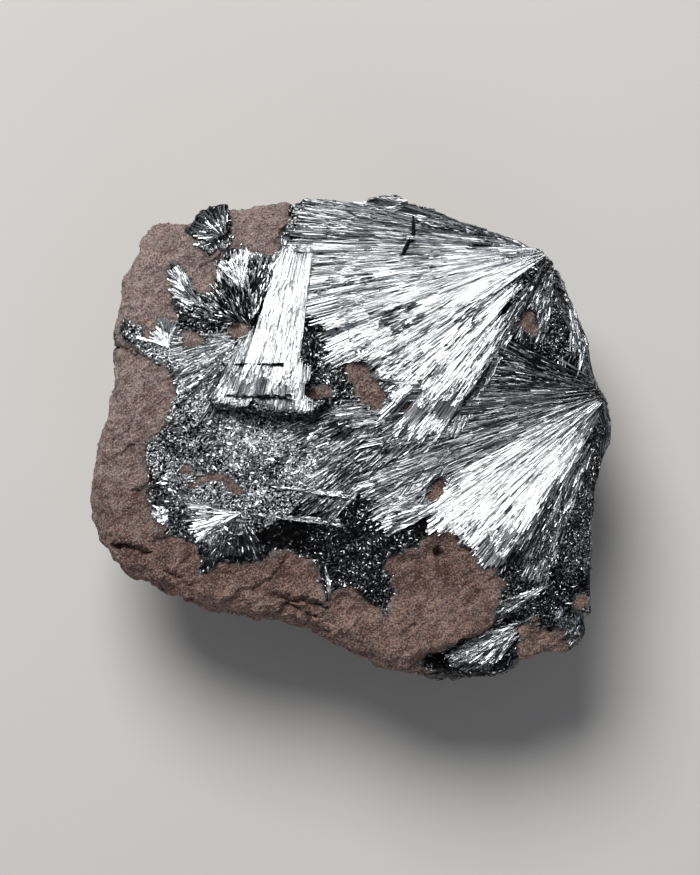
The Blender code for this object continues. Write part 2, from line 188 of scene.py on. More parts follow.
def points_of(made, what="co"):
    """The places of the mesh's points, or their normals, as rows of three numbers."""
    rows = np.empty(len(made.data.vertices) * 3, np.float32)
    made.data.vertices.foreach_get(what, rows)
    return rows.reshape(-1, 3)


def move_points(made, points):
    made.data.vertices.foreach_set("co", points.ravel())


def rock_share(made):
    """How much of the surface is rock at each point, from 0 to 1."""
    share = np.empty(len(made.data.vertices), np.float32)
    made.data.attributes["rock"].data.foreach_get("value", share)
    return share


def set_rock_share(made, share):
    attributes = made.data.attributes
    layer = attributes.get("rock") or attributes.new("rock", "FLOAT", "POINT")
    layer.data.foreach_set("value", share.astype(np.float32))


def swell(made, growth):
    """Grows the surface where rock and crystal meet, so that no gap shows between them."""
    growth = growth * (1.0 - np.clip(np.abs(rock_share(made) - 0.5) * 2.0, 0.0, 1.0))
    points = points_of(made)
    growth = np.where(points[:, 2] > SWELLS_ABOVE, growth, 0.0)
    points += points_of(made, "normal") * growth[:, None].astype(np.float32)
    move_points(made, points)


def draw_in_corner(made):
    """Presses the right side in below the right fan, down to the lower right corner."""
    points = points_of(made)
    beyond = np.maximum(points[:, 0] - CORNER_SIDE, 0.0)
    share = np.clip((CORNER_TOP - points[:, 1]) / CORNER_RUN, 0.0, 1.0)
    points[:, 0] -= beyond * share * CORNER_DRAWN_IN
    move_points(made, points)


def stand_flat(made):
    """Presses what hangs below the table back to it, so that the specimen rests flat."""
    points = points_of(made)
    points[:, 2] = np.where(points[:, 2] < FOOT, 0.0, points[:, 2])
    move_points(made, points)


def clipped(value):
    """The number, held between 0 and 1."""
    return min(1.0, max(0.0, value))


def wandering(place, waves):
    """A number that wanders smoothly from place to place, by noises of a size and a weight."""
    return sum(turbulence.noise(place / size) * weight for size, weight in waves)


def mark_contact(made, other, own_share):
    """Stores how much of the surface is rock: one half where it meets the other solid. On the steep
    sides below the face the contact winds up and down more widely."""
    corners = [vert.co for vert in other.data.vertices]
    surface = BVHTree.FromPolygons(corners, [face.vertices for face in other.data.polygons])
    shares = []
    for vert in made.data.vertices:
        # From 0 on the face to 1 on a side, by the way the surface faces and by its height
        side = clipped((0.7 - vert.normal.z) / 0.3) * clipped((FACE_EDGE - vert.co.z) / FACE_EDGE_DEPTH)
        width = CONTACT_WIDTH + (SIDE_CONTACT_WIDTH - CONTACT_WIDTH) * side
        gap = surface.find_nearest(vert.co, width)[3]
        away = 1.0 if gap is None else gap / width
        winding = wandering(vert.co, WINDINGS)
        shares.append(0.5 + (own_share - 0.5) * away + side * winding * (1.2 - away))
    set_rock_share(made, np.clip(shares, 0.0, 1.0))


def add_node(tree, kind, values, **settings):
    """A node with its settings, and its inputs given by name or number, as a value or a link."""
    made = tree.nodes.new(kind)
    for key, value in settings.items():
        setattr(made, key, value)
    for key, value in values.items():
        socket = made.inputs[key] if isinstance(key, int) else next(
            each for each in made.inputs if each.enabled and each.name == key
        )
        if isinstance(value, bpy.types.NodeSocket):
            tree.links.new(value, socket)
        else:
            socket.default_value = value
    return made


def out(node, name=None):
    """The node's output of that name, or its first one."""
    return next(each for each in node.outputs if each.enabled and name in (None, each.name))


def result(tree, kind, values, **settings):
    """The first output of such a node."""
    return out(add_node(tree, kind, values, **settings))


def maths(tree, operation, *values, **settings):
    return result(tree, "ShaderNodeMath", dict(enumerate(values)), operation=operation, **settings)


def times(tree, value, factor):
    return maths(tree, "MULTIPLY", value, factor)


def linear(tree, value, factor, offset):
    """The value times the factor, plus the offset."""
    return maths(tree, "MULTIPLY_ADD", value, factor, offset)


def vectors(tree, operation, *values):
    return result(tree, "ShaderNodeVectorMath", dict(enumerate(values)), operation=operation)


def dot(tree, first, second):
    values = {0: first, 1: second}
    return out(add_node(tree, "ShaderNodeVectorMath", values, operation="DOT_PRODUCT"), "Value")


def blend(tree, share, first, second, mode="MIX"):
    """A colour between two, as links or as red, green and blue."""
    first, second = ((*each, 1.0) if isinstance(each, tuple) else each for each in (first, second))
    values = {0: share, 6: first, 7: second}
    return add_node(tree, "ShaderNodeMix", values, data_type="RGBA", blend_type=mode).outputs[2]


def noise(tree, place, size, detail=3.0, roughness=0.55):
    values = {"Vector": place, "Scale": 1.0 / size, "Detail": detail, "Roughness": roughness}
    return out(add_node(tree, "ShaderNodeTexNoise", values), "Fac")


def step(tree, value, low, high):
    """Rises smoothly from 0 to 1 between two limits."""
    values = {"Value": value, "From Min": low, "From Max": high}
    return result(tree, "ShaderNodeMapRange", values, interpolation_type="SMOOTHSTEP")


def attribute(tree, name, output):
    return out(add_node(tree, "ShaderNodeAttribute", {}, attribute_name=name), output)


def rockiness(tree, share, place):
    """Above one half where the surface shows rock. A noise makes the contact wander."""
    return linear(tree, noise(tree, place, 1.7 * MM, 5.0, 0.65), 1.7, maths(tree, "ADD", share, -0.85))


# Colours of the rock and of the crystal below the blades, in red, green and blue
DARK_BROWN = (0.262, 0.166, 0.142)
PALE_BROWN = (0.510, 0.392, 0.366)
REDDISH_BROWN = (0.320, 0.170, 0.130)
GREYISH_BROWN = (0.245, 0.196, 0.180)
PALE_SPECK = (0.58, 0.54, 0.52)
BLACK = (0.009, 0.009, 0.010)
DARK_STEEL = (0.10, 0.104, 0.112)
CONTACT_GREY = (0.34, 0.34, 0.35)
GLITTER = (0.30, 0.30, 0.31)


def rock_and_crystal(name):
    """The finish of both big solids: brown rock or dark crystal, by what the surface is there."""
    material = bpy.data.materials.new(name)
    material.use_nodes = True
    tree = material.node_tree
    shader = tree.nodes["Principled BSDF"].inputs
    place = out(add_node(tree, "ShaderNodeTexCoord", {}), "Object")
    other_place = vectors(tree, "ADD", place, (0.05, 0.11, 0.07))
    patch = noise(tree, place, 1.8 * MM, 6.0, 0.7)
    grain = noise(tree, place, 0.24 * MM, 3.0, 0.75)
    tint = noise(tree, other_place, 0.55 * MM, 4.0, 0.75)
    # Fine layers that run up to the right
    values = {"Vector": place, "Rotation": (0.0, 0.0, math.radians(35)), "Scale": (3.5, 1.0, 1.0)}
    along = result(tree, "ShaderNodeMapping", values, vector_type="TEXTURE")
    layers = noise(tree, along, 0.75 * MM, 4.0, 0.7)

    # The rock's colour: paler towards the upper left edge, with reddish and greyish spots
    broad = linear(tree, noise(tree, place, 7 * MM, 3.0), 14 * MM, dot(tree, place, (-0.45, 0.89, 0.0)))
    pale = step(tree, broad, -4 * MM, 34 * MM)
    brown = blend(tree, pale, DARK_BROWN, PALE_BROWN)
    brown = blend(tree, step(tree, tint, 0.53, 0.68), brown, REDDISH_BROWN)
    brown = blend(tree, step(tree, tint, 0.47, 0.32), brown, GREYISH_BROWN)
    # Its shade: patches, layers and grains, partly the rock's own mottled tone and partly painted shade of
    # its small pits and relief, more mottled where it isn't pale. Painted fill light makes it lighter at
    # the lower edge, whose faces turn away from the lamp.
    shade = linear(tree, patch, 3.2, linear(tree, layers, 2.4, -6.10))
    shade = linear(tree, grain, 6.6, shade)
    shade = linear(tree, shade, linear(tree, pale, -0.60, 1.45), 1.0)
    # Painted fill light: lighter on the faces of the lower edge, which turn away from the lamp
    low = step(tree, dot(tree, place, (0.0, -1.0, -0.35)), 12 * MM, 17 * MM)
    shade = linear(tree, low, 0.45, shade)
    shade = maths(tree, "MINIMUM", maths(tree, "MAXIMUM", shade, 0.46), 3.0)
    reddish = linear(tree, shade, 0.86, 0.14)
    shade = result(tree, "ShaderNodeCombineColor", {0: reddish, 1: shade, 2: shade})
    brown = blend(tree, 1.0, brown, shade, "MULTIPLY")
    speck = step(tree, noise(tree, other_place, 0.38 * MM, 2.0, 0.6), 0.64, 0.71)
    brown = blend(tree, speck, brown, PALE_SPECK)

    # The crystal below the blades, greyer along its contact with the rock, and glitter on the rock along
    # that contact
    sheen = noise(tree, place, 0.8 * MM, 4.0, 0.7)
    black = blend(tree, step(tree, sheen, 0.50, 0.80), BLACK, DARK_STEEL)
    contact = rockiness(tree, attribute(tree, "rock", "Fac"), place)
    greyer = times(tree, step(tree, contact, 0.20, 0.42), step(tree, grain, 0.38, 0.62))
    black = blend(tree, greyer, black, CONTACT_GREY)
    glitter = times(tree, step(tree, contact, 0.78, 0.52), step(tree, grain, 0.42, 0.60))
    brown = blend(tree, glitter, brown, GLITTER)
    rock = step(tree, contact, 0.47, 0.53)
    tree.links.new(blend(tree, rock, black, brown), shader["Base Color"])
    tree.links.new(linear(tree, rock, -0.85, 0.85), shader["Metallic"])
    tree.links.new(linear(tree, rock, 0.50, 0.42), shader["Roughness"])
    shader["Specular IOR Level"].default_value = 0.2
    relief = linear(tree, layers, 0.9, times(tree, grain, 1.2))
    relief = linear(tree, patch, 2.4, relief)
    values = {"Height": relief, "Strength": 1.0, "Distance": 0.55 * MM}
    tree.links.new(result(tree, "ShaderNodeBump", values), shader["Normal"])
    return material


# The rock splits along layers that lean towards the upper left. In patches, each is cut back by up to
# one and a half ledges or stands out by up to half of one. These lengths, the cracks' and the
# rosette's are in millimetres.
LAYERS_FACE = Vector((-0.55, 0.75, 0.35)).normalized()
LAYER = 1.3
LAYER_BENDS = ((8.0, 2.5), (1.6, 0.7))
LEDGE = 0.42
PATCH = 6.0
# The cracks run between two points of the face, with their width and depth. The last one is a small
# round pit. Nothing cracks below CRACKS_ABOVE.
CRACKS_ABOVE = 8.0
CRACKS = (
    ((-30.0, -8.7), (-28.6, -9.1), 0.4, 0.7),
    ((-32.9, -16.7), (-28.1, -17.7), 0.6, 1.5),
    ((-10.2, -23.4), (-3.6, -25.4), 0.6, 1.8),
    ((-9.0, -25.2), (-5.2, -27.0), 0.9, 1.6),
    ((-33.2, 12.0), (-30.0, 10.2), 0.5, 0.9),
    ((-24.0, -24.2), (-17.0, -27.4), 0.5, 1.0),
    ((-26.0, -20.6), (-22.0, -22.4), 0.4, 0.8),
    ((12.1, -17.9), (12.5, -17.8), 0.8, 1.6),
)
# Middle and radius of the rosette, and the height of its foot in the rock
ROSETTE = (-19.6, 27.9, 3.0)
ROSETTE_FOOT = 24.0


def split_and_crack(made):
    """Cuts each layer of the rock back its own way, and sinks the cracks into the face."""
    points = points_of(made)
    moves = np.empty(len(points))
    for number, point in enumerate(points):
        spot = Vector(point) / MM
        layer = (spot.dot(LAYERS_FACE) + wandering(spot, LAYER_BENDS)) / LAYER
        cut = turbulence.cell(Vector((math.floor(layer), 7.3, 2.1)))
        patchy = clipped(turbulence.noise(spot / PATCH + Vector((9.0, 4.0, 1.0))) * 2.2 + 0.4)
        moves[number] = (cut - 0.5) * LEDGE * patchy
        if spot.z <= CRACKS_ABOVE:
            continue
        jog = Vector((turbulence.noise(spot / 1.5), turbulence.noise(spot / 1.3)))
        level = spot.xy + jog * 0.8
        for start, end, width, depth in CRACKS:
            run = Vector(end) - Vector(start)
            along = clipped((level - Vector(start)).dot(run) / run.length_squared)
            gap = (level - Vector(start) - run * along).length / width
            moves[number] -= depth * max(0.0, 1.0 - gap * gap)
    points += points_of(made, "normal") * (moves * MM)[:, None].astype(np.float32)
    move_points(made, points)


def spread_rosette(made):
    """Marks the face round the rosette as crystal, because its thin blades run out over the rock."""
    share = rock_share(made)
    points = points_of(made) / MM
    away = np.hypot(points[:, 0] - ROSETTE[0], points[:, 1] - ROSETTE[1]) / ROSETTE[2]
    share = np.where(points[:, 2] > ROSETTE_FOOT, np.minimum(share, 0.5 * away * away), share)
    set_rock_share(made, share)


host_rock = merged_copy("matrix", "host_rock")
crystal_body = merged_copy("pyrolusite_mass", "crystal_body")
remesh(host_rock, ROCK_VOXEL)
roughen(host_rock, "rock lumps", "CLOUDS", 2.6 * MM, LUMP_DEPTH, middle=0.5 - ROCK_GROWTH / LUMP_DEPTH)
roughen(host_rock, "rock knobs", "VORONOI", 2.2 * MM, 0.5 * MM, middle=0.35)
settle(host_rock)
split_and_crack(host_rock)
roughen(host_rock, "rock grain", "CLOUDS", 0.5 * MM, 0.36 * MM)
settle(host_rock)
stand_flat(host_rock)
draw_in_corner(host_rock)
mark_contact(host_rock, crystal_body, own_share=1.0)
swell(host_rock, 0.40 * MM)
spread_rosette(host_rock)
host_rock.data.materials.append(rock_and_crystal("host rock"))
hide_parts("matrix")
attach(host_rock, "root")

# Crumbs on the host rock: sand grains and chips of the same rock, up to half a millimetre across,
# that stand out of its broken faces.
CRUMB_SIZE = 0.50 * MM
CRUMBS_PER_SQUARE_METRE = 0.8e6
CLEAR_OF_TABLE = 0.6 * MM
# The crumbs lie where the surface is surely rock
SURELY_ROCK = 0.8


def new_tree(name, inputs):
    """A Geometry Nodes tree and what it is given. Each input is told by its usual value, or by its kind."""
    tree = bpy.data.node_groups.new(name, "GeometryNodeTree")
    for label, usual in inputs.items():
        kind = {float: "Float", int: "Int", tuple: "Vector"}.get(type(usual), usual)
        socket = tree.interface.new_socket(label, in_out="INPUT", socket_type="NodeSocket" + kind)
        if kind != usual:
            socket.default_value = usual
    tree.interface.new_socket("Geometry", in_out="OUTPUT", socket_type="NodeSocketGeometry")
    return tree, tree.nodes.new("NodeGroupInput").outputs


def set_inputs(modifier, values):
    """Gives the modifier's tree its inputs by name."""
    for item in modifier.node_group.interface.items_tree:
        if item.in_out == "INPUT" and item.name in values:
            modifier[item.identifier] = values[item.name]


def shape_of(tree, thing):
    info = add_node(tree, "GeometryNodeObjectInfo", {"Object": thing}, transform_space="ORIGINAL")
    return out(info, "Geometry")


def named(tree, name):
    return result(tree, "GeometryNodeInputNamedAttribute", {"Name": name}, data_type="FLOAT")


def stored(tree, geometry, name, value, kind="FLOAT"):
    values = {"Geometry": geometry, "Name": name, "Value": value}
    return result(tree, "GeometryNodeStoreNamedAttribute", values, data_type=kind, domain="POINT")


def height_of(tree, place):
    return out(add_node(tree, "ShaderNodeSeparateXYZ", {0: place}), "Z")


def above(tree, value, limit):
    return result(tree, "FunctionNodeCompare", {"A": value, "B": limit}, operation="GREATER_THAN")


def both(tree, first, second):
    return result(tree, "FunctionNodeBooleanMath", {0: first, 1: second}, operation="AND")


def strew(tree, values, finish):
    """Ends the tree: the shape on each of the points, as real mesh in that finish."""
    grown = result(tree, "GeometryNodeInstanceOnPoints", values)
    grown = result(tree, "GeometryNodeRealizeInstances", {"Geometry": grown})
    grown = result(tree, "GeometryNodeSetMaterial", {"Geometry": grown, "Material": finish})
    tree.links.new(grown, tree.nodes.new("NodeGroupOutput").inputs["Geometry"])


def crumb_tree():
    """Small lumps strewn over the rock, each turned its own way."""
    inputs = {"Rock": "Object", "Finish": "Material", "Per square metre": 0.0, "Size": 0.0}
    tree, given = new_tree("rock crumbs", inputs)
    spot = result(tree, "GeometryNodeInputPosition", {})
    brown = above(tree, named(tree, "rock"), SURELY_ROCK)
    clear = above(tree, height_of(tree, spot), CLEAR_OF_TABLE)
    values = {"Mesh": shape_of(tree, given["Rock"]), "Selection": both(tree, brown, clear)}
    values.update({"Density": given["Per square metre"], "Seed": 5})
    dots = out(add_node(tree, "GeometryNodeDistributePointsOnFaces", values), "Points")
    chip = result(tree, "GeometryNodeMeshUVSphere", {"Segments": 4, "Rings": 2, "Radius": 0.5})
    chip = stored(tree, chip, "rock", 1.0)
    values = {"Max": (math.tau,) * 3, "Seed": 3}
    turn = result(tree, "FunctionNodeRandomValue", values, data_type="FLOAT_VECTOR")
    values = {"Min": 0.4, "Max": 1.0, "Seed": 4}
    large = result(tree, "FunctionNodeRandomValue", values, data_type="FLOAT")
    large = times(tree, maths(tree, "POWER", large, 2.0), given["Size"])
    values = {"Points": dots, "Instance": chip, "Rotation": turn, "Scale": large}
    strew(tree, values, given["Finish"])
    return tree


rock_crumbs = put("rock_crumbs", bpy.data.meshes.new("rock_crumbs"))
scatter = rock_crumbs.modifiers.new("rock crumbs", "NODES")
scatter.node_group = crumb_tree()
set_inputs(scatter, {"Rock": host_rock, "Finish": host_rock.data.materials[0], "Size": CRUMB_SIZE})
set_inputs(scatter, {"Per square metre": CRUMBS_PER_SQUARE_METRE})
settle(rock_crumbs)
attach(rock_crumbs, "root")

# The body of the crystals: solid pyrolusite below the blades, dark where it shows between them. It
# fills the middle of the lump and comes out at the upper and the right side, grown fast to the rock.
CRYSTAL_VOXEL = 0.5 * MM
KNOB_FOOT = 31.9 * MM
KNOB_PRESSED = 0.45
# Thin remnants of rock on the crystals, above REMNANTS_ABOVE: middle and radius, in millimetres
REMNANTS_ABOVE = 15.0
REMNANTS = (
    (8.2, 2.8, 0.9),
    (-22.0, -8.4, 0.6),
    (-21.1, -7.7, 0.7),
    (-20.1, -7.3, 0.7),
    (-19.0, -7.0, 0.6),
    (-18.0, -7.1, 0.6),
    (-17.1, -7.6, 0.7),
    (-16.3, -8.4, 0.7),
    (-15.7, -9.3, 0.7),
    (-23.0, -6.0, 0.9),
    (32.2, -24.7, 1.1),
)


def lower_knob(made):
    """Presses the knob beyond the upper edge to the flat bulge that it is."""
    points = points_of(made)
    beyond = np.maximum(points[:, 1] - KNOB_FOOT, 0.0)
    points[:, 1] -= beyond * KNOB_PRESSED
    move_points(made, points)


def leave_remnants(made):
    """Marks the thin remnants of rock, which fade out at their radius."""
    share = rock_share(made)
    points = points_of(made) / MM
    for x, y, radius in REMNANTS:
        away = np.hypot(points[:, 0] - x, points[:, 1] - y) / radius
        share = np.maximum(share, np.where(points[:, 2] > REMNANTS_ABOVE, 1.0 - 0.5 * away, 0.0))
    set_rock_share(made, share)


matrix_solid = merged_copy("matrix", "rock for contact")
remesh(crystal_body, CRYSTAL_VOXEL)
roughen(crystal_body, "crystal lumps", "CLOUDS", 1.1 * MM, 0.5 * MM, middle=0.3)
settle(crystal_body)
lower_knob(crystal_body)
draw_in_corner(crystal_body)
mark_contact(crystal_body, matrix_solid, own_share=0.0)
swell(crystal_body, 0.25 * MM)
leave_remnants(crystal_body)
bpy.data.objects.remove(matrix_solid, do_unlink=True)
crystal_body.data.materials.append(rock_and_crystal("crystal body"))
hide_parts("pyrolusite_mass")
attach(crystal_body, "root")

# The upper right fan: the largest spray, painted the brightest by its blades' painted sheen. Its long thin
# blades all start at one point near the right rim and spread to the left and downwards, lying on each other
# in splintered layers.
TOWARDS_LIGHT = from_above(SOFTBOX_AZIMUTH, SOFTBOX_POLAR, 1.0) - Vector((0.0, 0.0, FACE_HEIGHT))
# Facets that face the first way mirror the light straight up, and those that face the second mirror
# the dark room
FACETS_TO_LIGHT = tuple((TOWARDS_LIGHT + Vector((0.0, 0.0, 1.0))).normalized())
FACETS_AWAY = (0.10, -0.34, 0.93)
RAY_REACH = 12.0 * MM
# The colours of the painted sheen, from painted reflection of the dark room to that of the lamp
BLADE_BLACK = (0.010, 0.0105, 0.012, 1.0)
BLADE_GREY = (0.195, 0.206, 0.222, 1.0)
BLADE_SILVER = (0.86, 0.885, 0.915, 1.0)


def triangle(bm, places, size):
    """Three corners round a blade's axis, with a flat side up, each at its own place along it."""
    corners = []
    for place, turn in zip(places, (30, 150, 270)):
        side = math.cos(math.radians(turn))
        height = math.sin(math.radians(turn))
        corners.append(bm.verts.new((place, side * size, height * size)))
    return corners


def prism(name, near, far):
    """A three-sided prism, a unit long, wide and thick, with a flat facet on top. Each end is given by the
    places of its three corners along the prism, and its size."""
    bm = bmesh.new()
    first = triangle(bm, *near)
    last = triangle(bm, *far)
    bm.faces.new(first)
    for corner in range(3):
        following = (corner + 1) % 3
        bm.faces.new((first[corner], last[corner], last[following], first[following]))
    bm.faces.new(last)
    bmesh.ops.recalc_face_normals(bm, faces=bm.faces)
    return finished(bm, name)


def spindle(name):
    """A short prism, a unit long, wide and thick, with a flat facet on top and a point at each end."""
    bm = bmesh.new()
    ring = triangle(bm, (0.1, 0.1, 0.1), 0.57)
    for end in (-0.5, 0.5):
        point = bm.verts.new((end, 0.0, 0.1))
        for corner in range(3):
            bm.faces.new((point, ring[corner], ring[(corner + 1) % 3]))
    bmesh.ops.recalc_face_normals(bm, faces=bm.faces)
    return finished(bm, name)


def joined_copy(name, *pieces):
    """The pieces' meshes in one helper object, with what the surface is at each point."""
    whole = bmesh.new()
    for piece in pieces:
        whole.from_mesh(piece.data)
    return finished(whole, name)


BLADE = prism("one blade", ((-0.5, -0.5, -0.44), 0.22), ((0.44, 0.5, 0.30), 0.57))
GRAIN = spindle("one grain")
FACE = joined_copy("ground of the sprays", host_rock, crystal_body)


def blade_finish():
    """Metallic pyrolusite: painted from black to bright steel by each blade's painted sheen, which stands
    in for its facets mirroring the dark room or the lamp; striated lengthways.
    """
    material = bpy.data.materials.new("bladed pyrolusite")
    material.use_nodes = True
    tree = material.node_tree
    shader = tree.nodes["Principled BSDF"].inputs
    lustre = attribute(tree, "lustre", "Fac")
    own = vectors(tree, "MULTIPLY", attribute(tree, "blade", "Vector"), (9.0, 9.0, 9.0))
    shift = times(tree, lustre, 90.0)
    place = vectors(tree, "ADD", own, result(tree, "ShaderNodeCombineXYZ", {0: shift, 1: shift}))
    streak = noise(tree, place, 1.0, 3.0, 0.6)
    shine = maths(tree, "ADD", lustre, linear(tree, streak, 2.4, -1.2), use_clamp=True)
    ramp = tree.nodes.new("ShaderNodeValToRGB")
    ramp.color_ramp.elements[0].color = BLADE_BLACK
    ramp.color_ramp.elements[1].color = BLADE_SILVER
    ramp.color_ramp.elements.new(0.5).color = BLADE_GREY
    tree.links.new(shine, ramp.inputs[0])
    tree.links.new(ramp.outputs["Color"], shader["Base Color"])
    shader["Metallic"].default_value = 0.92
    tree.links.new(linear(tree, streak, 0.25, 0.18), shader["Roughness"])
    values = {"Height": streak, "Strength": 0.5, "Distance": 0.05 * MM}
    tree.links.new(result(tree, "ShaderNodeBump", values), shader["Normal"])
    return material


BLADED = blade_finish()

# Each input of the spray tree: its usual value, in millimetres and degrees, or its kind. Stretch, nod,
# tilt and contrast say how much lengths, pitches, facets and painted sheens differ. The painted sheen is
# painted reflection: it sets each blade's colour from black, for mirroring the dark, to silver, for
# mirroring the lamp, on top of what its facet really mirrors. Blades in a band share their height, facet
# and painted sheen. The odd ones are painted dark gaps among bright blades or painted glints among dark
# ones. A small edge keeps only the blades close to the rock, and none ends below the lowest height.
SPRAY_INPUTS = {
    "Ground": "Object",
    "Blade": "Object",
    "Finish": "Material",
    "Focus": (0.0, 0.0, 0.0),
    "Facing": (0.0, 0.0, 0.0),
    "First direction": 0.0,
    "Last direction": 360.0,
    "Near": 0.5,
    "Far": 10.0,
    "Blades": 500,
    "Length": 6.0,
    "Stretch": 0.45,
    "Width": 0.14,
    "Thickness": 0.30,
    "Disorder": 1.2,
    "Pitch": 0.0,
    "Nod": 2.0,
    "Facet": FACETS_TO_LIGHT,
    "Tilt": 0.5,
    "Band": 3.0,
    "Lift": 0.05,
    "Relief": 0.35,
    "Lustre": 0.6,
    "Contrast": 0.5,
    "Odd": 0.15,
    "Edge": 1.0,
    "Lowest": 0.0,
    "Seed": 0,
}


def scaled(tree, vector, factor):
    return result(tree, "ShaderNodeVectorMath", {0: vector, "Scale": factor}, operation="SCALE")


def spray_tree():
    """Blades that radiate from a focus and lie on the ground that a ray from outside finds."""
    tree, given = new_tree("crystal spray", SPRAY_INPUTS)

    def draw(number, low, high):
        """A random number for each blade. Each use has a number of its own."""
        values = {"Min": low, "Max": high, "Seed": linear(tree, given["Seed"], 17.0, float(number))}
        return result(tree, "FunctionNodeRandomValue", values, data_type="FLOAT")

    def millimetres(value):
        return times(tree, value, MM)

    def combined(x, y, z):
        return result(tree, "ShaderNodeCombineXYZ", {0: x, 1: y, 2: z})

    def ahead(angle):
        return combined(maths(tree, "COSINE", angle), maths(tree, "SINE", angle), 0.0)

    def turned(vector):
        """The vector, turned from the face to the side that the spray is on."""
        return result(tree, "FunctionNodeRotateVector", {"Vector": vector, "Rotation": turn})

    facing = vectors(tree, "MULTIPLY", given["Facing"], (math.radians(1),) * 3)
    turn = result(tree, "FunctionNodeEulerToRotation", {0: facing})
    focus = vectors(tree, "MULTIPLY", given["Focus"], (MM, MM, MM))
    outward = turned((0.0, 0.0, 1.0))

    sweep = maths(tree, "SUBTRACT", given["Last direction"], given["First direction"])
    degrees = linear(tree, sweep, draw(1, 0.0, 1.0), given["First direction"])
    around = maths(tree, "RADIANS", degrees)
    share = maths(tree, "POWER", draw(2, 0.0, 1.0), 0.62)

    # Three numbers that the blades of a band share
    across = maths(tree, "DIVIDE", degrees, given["Band"])
    phase = times(tree, given["Seed"], 3.7)
    where = combined(across, times(tree, share, 1.6), phase)
    bands = []
    for shift in ((0.0, 0.0, 0.0), (31.0, 7.0, 3.0), (3.0, 41.0, 9.0)):
        shared = noise(tree, vectors(tree, "ADD", where, shift), 1.0, 2.0)
        bands.append(linear(tree, shared, 3.0, -1.5))

    # Each blade's middle, and the arm from there to its tip
    far = times(tree, given["Far"], linear(tree, bands[1], 0.10, 0.94))
    radius = linear(tree, maths(tree, "SUBTRACT", far, given["Near"]), share, given["Near"])
    longer = linear(tree, given["Stretch"], draw(3, -1.0, 1.0), 1.0)
    half = times(tree, times(tree, given["Length"], longer), 0.5)
    half = maths(tree, "MINIMUM", half, maths(tree, "MAXIMUM", radius, 0.4))
    yaw = times(tree, maths(tree, "RADIANS", given["Disorder"]), draw(4, -1.0, 1.0))
    middle = vectors(tree, "ADD", focus, turned(scaled(tree, ahead(around), millimetres(radius))))
    arm = scaled(tree, turned(ahead(maths(tree, "ADD", around, yaw))), millimetres(half))

    # Rays find the ground at five points of the blade. All have to strike crystal, the tips well off
    # the rock, and the blade mustn't climb a step.
    ground = shape_of(tree, given["Ground"])
    rock = named(tree, "rock")
    reach = scaled(tree, outward, RAY_REACH)
    down = scaled(tree, outward, -1.0)
    hits = []
    tests = []
    for part in (-1.0, -0.5, 0.0, 0.5, 1.0):
        spot = vectors(tree, "ADD", middle, scaled(tree, arm, part))
        values = {
            "Target Geometry": ground,
            "Source Position": vectors(tree, "ADD", spot, reach),
            "Ray Direction": down,
            "Ray Length": 2 * RAY_REACH,
            "Attribute": rock,
        }
        ray = add_node(tree, "GeometryNodeRaycast", values, data_type="FLOAT")
        hits.append(out(ray, "Hit Position"))
        what = rockiness(tree, out(ray, "Attribute"), hits[-1])
        tests.append(out(ray, "Is Hit"))
        tests.append(above(tree, 0.50 + 0.12 * abs(part), what))
        if part == 0.0:
            tests.append(above(tree, what, maths(tree, "SUBTRACT", 0.5, given["Edge"])))
    run = vectors(tree, "SUBTRACT", hits[-1], hits[0])
    climb = maths(tree, "ABSOLUTE", dot(tree, run, outward))
    tests.append(above(tree, linear(tree, millimetres(half), 0.8, 0.25 * MM), climb))
    for end in (hits[0], hits[-1]):
        tests.append(above(tree, height_of(tree, end), millimetres(given["Lowest"])))
    kept = tests[0]
    for test in tests[1:]:
        kept = both(tree, kept, test)

    # The blade's height above the ground, which rises over a bulge and with its band
    centre = scaled(tree, vectors(tree, "ADD", hits[0], hits[-1]), 0.5)
    bulge = dot(tree, vectors(tree, "SUBTRACT", hits[2], centre), outward)
    bulge = times(tree, maths(tree, "MAXIMUM", bulge, 0.0), 0.7)
    lift = linear(tree, given["Relief"], bands[2], given["Lift"])
    lift = maths(tree, "ADD", lift, draw(11, -0.10, 0.20))
    lift = maths(tree, "ADD", bulge, millimetres(lift))
    centre = vectors(tree, "ADD", centre, scaled(tree, outward, lift))

    # The way that its facet faces, and its pitch along its length
    wobble = combined(
        linear(tree, bands[0], 0.6, draw(5, -0.6, 0.6)),
        linear(tree, bands[1], 0.6, draw(6, -0.6, 0.6)),
        0.0,
    )
    facet = vectors(tree, "ADD", given["Facet"], turned(scaled(tree, wobble, given["Tilt"])))
    values = {0: run, 1: facet}
    lying = result(tree, "FunctionNodeAxesToRotation", values, primary_axis="X", secondary_axis="Z")
    pitch = linear(tree, given["Nod"], draw(7, -1.0, 1.0), given["Pitch"])
    pitch = maths(tree, "RADIANS", times(tree, pitch, -1.0))
    nod = result(tree, "FunctionNodeEulerToRotation", {0: combined(0.0, pitch, 0.0)})
    lying = result(tree, "FunctionNodeRotateRotation", {0: lying, 1: nod}, rotation_space="LOCAL")

